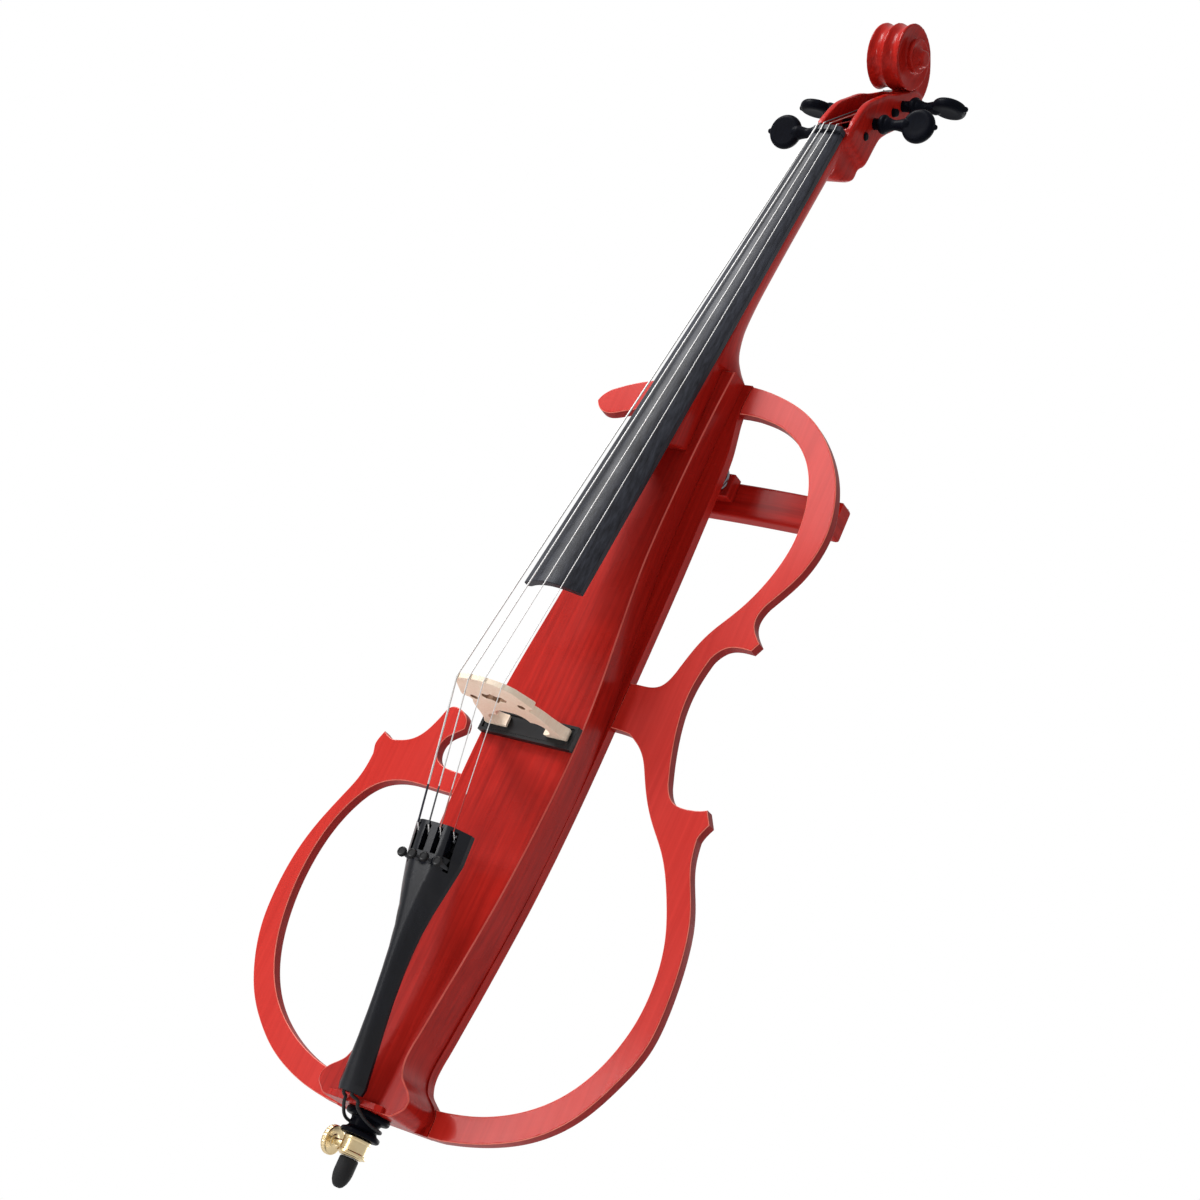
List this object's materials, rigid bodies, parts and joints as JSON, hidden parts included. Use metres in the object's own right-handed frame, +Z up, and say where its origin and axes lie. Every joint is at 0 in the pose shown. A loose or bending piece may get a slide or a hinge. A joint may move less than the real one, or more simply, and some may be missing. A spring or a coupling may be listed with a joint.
{
  "type": "electric cello",
  "caption": "Electric cello with a slim body, open side frames, carved scroll, fine-tuner tailpiece, swing-out chest rest and sliding endpin.",
  "frame": {"origin": "the small flat at the lower end of the endpin's rubber tip, with the endpin pushed in as pictured", "axes": "+Z up along the endpin towards the scroll, +Y from the strings to the back of the body, +X towards the thinnest string"},
  "size_m": [0.439, 0.2518, 1.2969],
  "materials": {
    "red_varnish": "glossy see-through red varnish over fine straight grain",
    "fingerboard_black": "satin black hardwood",
    "black_wood": "polished black hardwood",
    "pale_maple": "unvarnished maple with fine flecks",
    "black_plastic": "satin black moulding",
    "black_cord": "smooth black cord",
    "pale_brass": "polished pale brass",
    "bright_steel": "bright drawn steel",
    "dark_steel": "dark plated steel",
    "chromed_jack": "chromed",
    "black_rubber": "dull black rubber",
    "green_circuit": "green circuit board",
    "battery_case": "plain grey painted can"
  },
  "bodies": {
    "instrument": {"centre_body": "red_varnish", "back_board": "red_varnish", "right_wing": "red_varnish", "left_wing": "red_varnish", "left_horn": "red_varnish", "neck": "red_varnish", "fingerboard": "fingerboard_black", "nut": "fingerboard_black", "saddle": "red_varnish", "pickup_tray": "black_plastic", "pickup_strip": "black_plastic", "bridge": "pale_maple", "tailpiece": "black_plastic", "tail_cord": "black_cord", "string_c": "bright_steel", "string_g": "bright_steel", "string_d": "bright_steel", "string_a": "bright_steel", "endpin_plug": "black_wood", "endpin_collar": "pale_brass", "rest_bracket": "bright_steel", "rest_bolt": "bright_steel", "control_plate": "black_plastic", "plate_screw_lower_left": "bright_steel", "plate_screw_upper_left": "bright_steel", "plate_screw_lower_right": "bright_steel", "plate_screw_upper_right": "bright_steel", "preamp_board": "green_circuit", "headphone_jack": "chromed_jack", "output_jack": "chromed_jack", "battery": "battery_case", "pickup_lead": "black_cord"},
    "peg_c": {"peg_c": "black_wood"},
    "peg_g": {"peg_g": "black_wood"},
    "peg_d": {"peg_d": "black_wood"},
    "peg_a": {"peg_a": "black_wood"},
    "tuner_lever_c": {"tuner_lever_c": "dark_steel"},
    "tuner_screw_c": {"tuner_screw_c": "dark_steel"},
    "tuner_knob_c": {"tuner_knob_c": "black_plastic"},
    "tuner_lever_g": {"tuner_lever_g": "dark_steel"},
    "tuner_screw_g": {"tuner_screw_g": "dark_steel"},
    "tuner_knob_g": {"tuner_knob_g": "black_plastic"},
    "tuner_lever_d": {"tuner_lever_d": "dark_steel"},
    "tuner_screw_d": {"tuner_screw_d": "dark_steel"},
    "tuner_knob_d": {"tuner_knob_d": "black_plastic"},
    "tuner_lever_a": {"tuner_lever_a": "dark_steel"},
    "tuner_screw_a": {"tuner_screw_a": "dark_steel"},
    "tuner_knob_a": {"tuner_knob_a": "black_plastic"},
    "endpin": {"endpin_rod": "bright_steel", "endpin_tip": "black_rubber"},
    "endpin_clamp_screw": {"endpin_thumbscrew": "pale_brass"},
    "rest_arm": {"rest_wedge": "red_varnish", "chest_rest": "red_varnish"},
    "rest_clamp_knob": {"rest_knob": "black_plastic"},
    "volume_knob": {"volume_knob": "black_plastic"},
    "tone_knob": {"tone_knob": "black_plastic"},
    "battery_door": {"battery_door": "black_plastic"}
  },
  "joints": [
    {"name": "peg_c_turn", "type": "hinge", "parent": "instrument", "child": "peg_c", "pos_m": [0, 0.0556, 1.1394], "axis": [-1, 0, 0], "continuous": true},
    {"name": "peg_g_turn", "type": "hinge", "parent": "instrument", "child": "peg_g", "pos_m": [0, 0.0881, 1.19441], "axis": [-1, 0, 0], "continuous": true},
    {"name": "peg_d_turn", "type": "hinge", "parent": "instrument", "child": "peg_d", "pos_m": [0, 0.1011, 1.21238], "axis": [1, 0, 0], "continuous": true},
    {"name": "peg_a_turn", "type": "hinge", "parent": "instrument", "child": "peg_a", "pos_m": [0, 0.0628, 1.16041], "axis": [1, 0, 0], "continuous": true},
    {"name": "tuner_c_knob_turn", "type": "hinge", "parent": "tuner_screw_c", "child": "tuner_knob_c", "pos_m": [-0.0195, -0.0849, 0.2714], "axis": [0, -1, 0], "range_deg": [0, 1290]},
    {"name": "tuner_c_screw_slide", "type": "slide", "parent": "instrument", "child": "tuner_screw_c", "axis": [0, -1, 0], "range_m": [0, 0.0025]},
    {"name": "tuner_c_lever_swing", "type": "hinge", "parent": "instrument", "child": "tuner_lever_c", "pos_m": [-0.0195, -0.0684, 0.2874], "axis": [-1, 0, 0], "range_deg": [0, 9]},
    {"name": "tuner_g_knob_turn", "type": "hinge", "parent": "tuner_screw_g", "child": "tuner_knob_g", "pos_m": [-0.0065, -0.0879, 0.2714], "axis": [0, -1, 0], "range_deg": [0, 1290]},
    {"name": "tuner_g_screw_slide", "type": "slide", "parent": "instrument", "child": "tuner_screw_g", "axis": [0, -1, 0], "range_m": [0, 0.0025]},
    {"name": "tuner_g_lever_swing", "type": "hinge", "parent": "instrument", "child": "tuner_lever_g", "pos_m": [-0.0065, -0.0714, 0.2874], "axis": [-1, 0, 0], "range_deg": [0, 9]},
    {"name": "tuner_d_knob_turn", "type": "hinge", "parent": "tuner_screw_d", "child": "tuner_knob_d", "pos_m": [0.0065, -0.0879, 0.2714], "axis": [0, -1, 0], "range_deg": [0, 1290]},
    {"name": "tuner_d_screw_slide", "type": "slide", "parent": "instrument", "child": "tuner_screw_d", "axis": [0, -1, 0], "range_m": [0, 0.0025]},
    {"name": "tuner_d_lever_swing", "type": "hinge", "parent": "instrument", "child": "tuner_lever_d", "pos_m": [0.0065, -0.0714, 0.2874], "axis": [-1, 0, 0], "range_deg": [0, 9]},
    {"name": "tuner_a_knob_turn", "type": "hinge", "parent": "tuner_screw_a", "child": "tuner_knob_a", "pos_m": [0.0195, -0.0849, 0.2714], "axis": [0, -1, 0], "range_deg": [0, 1290]},
    {"name": "tuner_a_screw_slide", "type": "slide", "parent": "instrument", "child": "tuner_screw_a", "axis": [0, -1, 0], "range_m": [0, 0.0025]},
    {"name": "tuner_a_lever_swing", "type": "hinge", "parent": "instrument", "child": "tuner_lever_a", "pos_m": [0.0195, -0.0684, 0.2874], "axis": [-1, 0, 0], "range_deg": [0, 9]},
    {"name": "endpin_slide", "type": "slide", "parent": "instrument", "child": "endpin", "axis": [0, 0, -1], "range_m": [0, 0.3]},
    {"name": "endpin_screw_turn", "type": "hinge", "parent": "instrument", "child": "endpin_clamp_screw", "pos_m": [0, 0, 0.0354], "axis": [-1, 0, 0], "continuous": true},
    {"name": "rest_swing", "type": "hinge", "parent": "instrument", "child": "rest_arm", "pos_m": [0.038, 0.0575, 0.7274], "axis": [0, 1, 0], "range_deg": [0, 90]},
    {"name": "rest_knob_turn", "type": "hinge", "parent": "instrument", "child": "rest_clamp_knob", "pos_m": [0.038, 0.082, 0.7274], "axis": [0, 1, 0], "continuous": true},
    {"name": "volume_turn", "type": "hinge", "parent": "instrument", "child": "volume_knob", "pos_m": [-0.014, 0.039, 0.3694], "axis": [0, 1, 0], "range_deg": [-150, 150]},
    {"name": "tone_turn", "type": "hinge", "parent": "instrument", "child": "tone_knob", "pos_m": [0.014, 0.039, 0.3694], "axis": [0, 1, 0], "range_deg": [-150, 150]},
    {"name": "door_swing", "type": "hinge", "parent": "instrument", "child": "battery_door", "pos_m": [0, 0.0328, 0.2767], "axis": [-1, 0, 0], "range_deg": [0, 100]}
  ],
  "couplings": [
    {"joint": "tuner_c_knob_turn", "follows": "tuner_c_screw_slide", "rad_per_m": 8976},
    {"joint": "tuner_c_lever_swing", "follows": "tuner_c_screw_slide", "rad_per_m": 62.5},
    {"joint": "tuner_g_knob_turn", "follows": "tuner_g_screw_slide", "rad_per_m": 8976},
    {"joint": "tuner_g_lever_swing", "follows": "tuner_g_screw_slide", "rad_per_m": 62.5},
    {"joint": "tuner_d_knob_turn", "follows": "tuner_d_screw_slide", "rad_per_m": 8976},
    {"joint": "tuner_d_lever_swing", "follows": "tuner_d_screw_slide", "rad_per_m": 62.5},
    {"joint": "tuner_a_knob_turn", "follows": "tuner_a_screw_slide", "rad_per_m": 8976},
    {"joint": "tuner_a_lever_swing", "follows": "tuner_a_screw_slide", "rad_per_m": 62.5}
  ]
}
